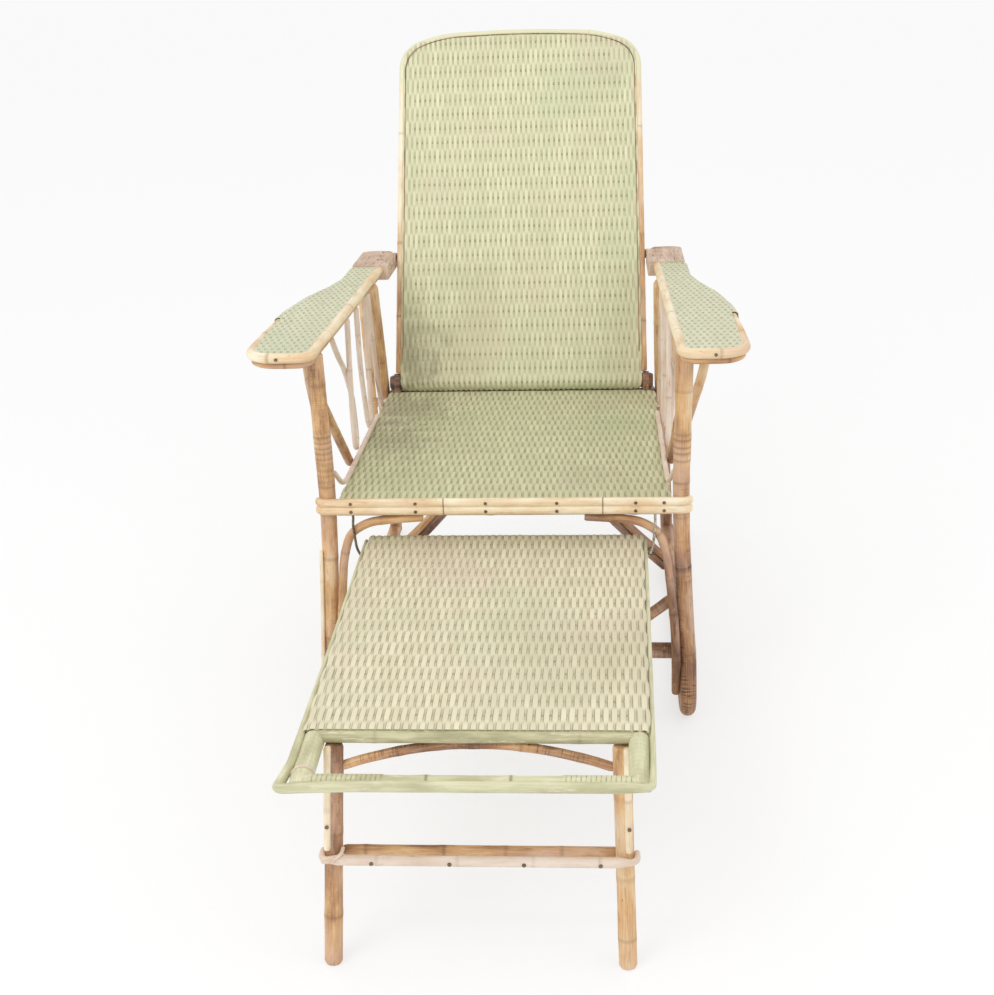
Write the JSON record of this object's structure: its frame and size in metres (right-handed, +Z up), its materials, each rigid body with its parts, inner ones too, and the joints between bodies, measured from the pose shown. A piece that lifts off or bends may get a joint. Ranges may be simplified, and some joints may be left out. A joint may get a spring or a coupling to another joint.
{
  "type": "reclining deck chair",
  "caption": "Reclining rattan deck chair with a woven seat, back and wide arms, notched arm blocks, a removable support bar and a footrest that slides under the seat.",
  "frame": {"origin": "on the floor, in the middle of the chair's width and length with the footrest out", "axes": "+Z up, the sitter faces -Y, +X to the right of someone who looks at the chair's front"},
  "size_m": [0.732, 1.4872, 1.0142],
  "materials": {
    "honey_cane": "satin rattan bark, worn",
    "brown_cane": "aged brown rattan bark",
    "peeled_cane": "matt peeled cane",
    "painted_cane": "green painted cane and wrapping",
    "green_weave": "painted flat reed weave",
    "grey_wood": "bare weathered wood",
    "iron_wire": "dull old wire"
  },
  "bodies": {
    "frame": {"arch_brace_left": "brown_cane", "arch_brace_right": "brown_cane", "arm_block_left": "grey_wood", "arm_block_right": "grey_wood", "arm_edge_pole_left": "honey_cane", "arm_edge_pole_right": "honey_cane", "arm_knees": "honey_cane", "arm_lower_pole_left": "brown_cane", "arm_lower_pole_right": "brown_cane", "arm_outer_pole_left": "honey_cane", "arm_outer_pole_right": "honey_cane", "arm_panel_left": "green_weave", "arm_panel_right": "green_weave", "bent_canes_left": "peeled_cane", "bent_canes_right": "peeled_cane", "corner_braces": "brown_cane", "floor_runner_left": "brown_cane", "floor_runner_right": "brown_cane", "footrest_hooks": "iron_wire", "frame_nails": "iron_wire", "front_leg_left": "honey_cane", "front_leg_right": "honey_cane", "front_rail": "honey_cane", "front_trim_lower": "honey_cane", "front_trim_upper": "honey_cane", "hinge_lashings": "honey_cane", "leg_strip_left": "honey_cane", "lower_stretcher": "brown_cane", "post_bindings": "honey_cane", "rear_leg_left": "brown_cane", "rear_leg_right": "brown_cane", "rear_post_left": "honey_cane", "rear_post_right": "honey_cane", "rear_rail": "honey_cane", "rear_strut_left": "brown_cane", "rear_strut_right": "brown_cane", "seat_panel": "green_weave", "side_diagonals": "honey_cane", "side_rail_left": "honey_cane", "side_rail_right": "honey_cane"},
    "backrest": {"back_bottom_rail": "brown_cane", "back_hoop": "honey_cane", "back_inner_pole": "honey_cane", "back_panel": "green_weave"},
    "support_bar": {"support_bar": "brown_cane"},
    "footrest": {"footrest_arch": "honey_cane", "footrest_edge_strip": "painted_cane", "footrest_front_bar": "painted_cane", "footrest_leg_left": "honey_cane", "footrest_leg_right": "honey_cane", "footrest_leg_strips": "honey_cane", "footrest_middle_rail": "painted_cane", "footrest_nails": "iron_wire", "footrest_panel": "green_weave", "footrest_rear_rail": "honey_cane", "footrest_side_rail_left": "painted_cane", "footrest_side_rail_right": "painted_cane", "footrest_stretcher_front": "peeled_cane", "footrest_stretcher_rear": "honey_cane"}
  },
  "joints": [
    {"name": "back_fold", "type": "hinge", "parent": "frame", "child": "backrest", "pos_m": [0, 0.47338, 0.3975], "axis": [1, 0, 0], "range_deg": [0, 108]},
    {"name": "bar_lift", "type": "slide", "parent": "frame", "child": "support_bar", "axis": [0, 0.5736, 0.8192], "range_m": [0, 0.045]},
    {"name": "footrest_slide", "type": "slide", "parent": "frame", "child": "footrest", "axis": [0, 1, 0], "range_m": [0, 0.49]}
  ]
}
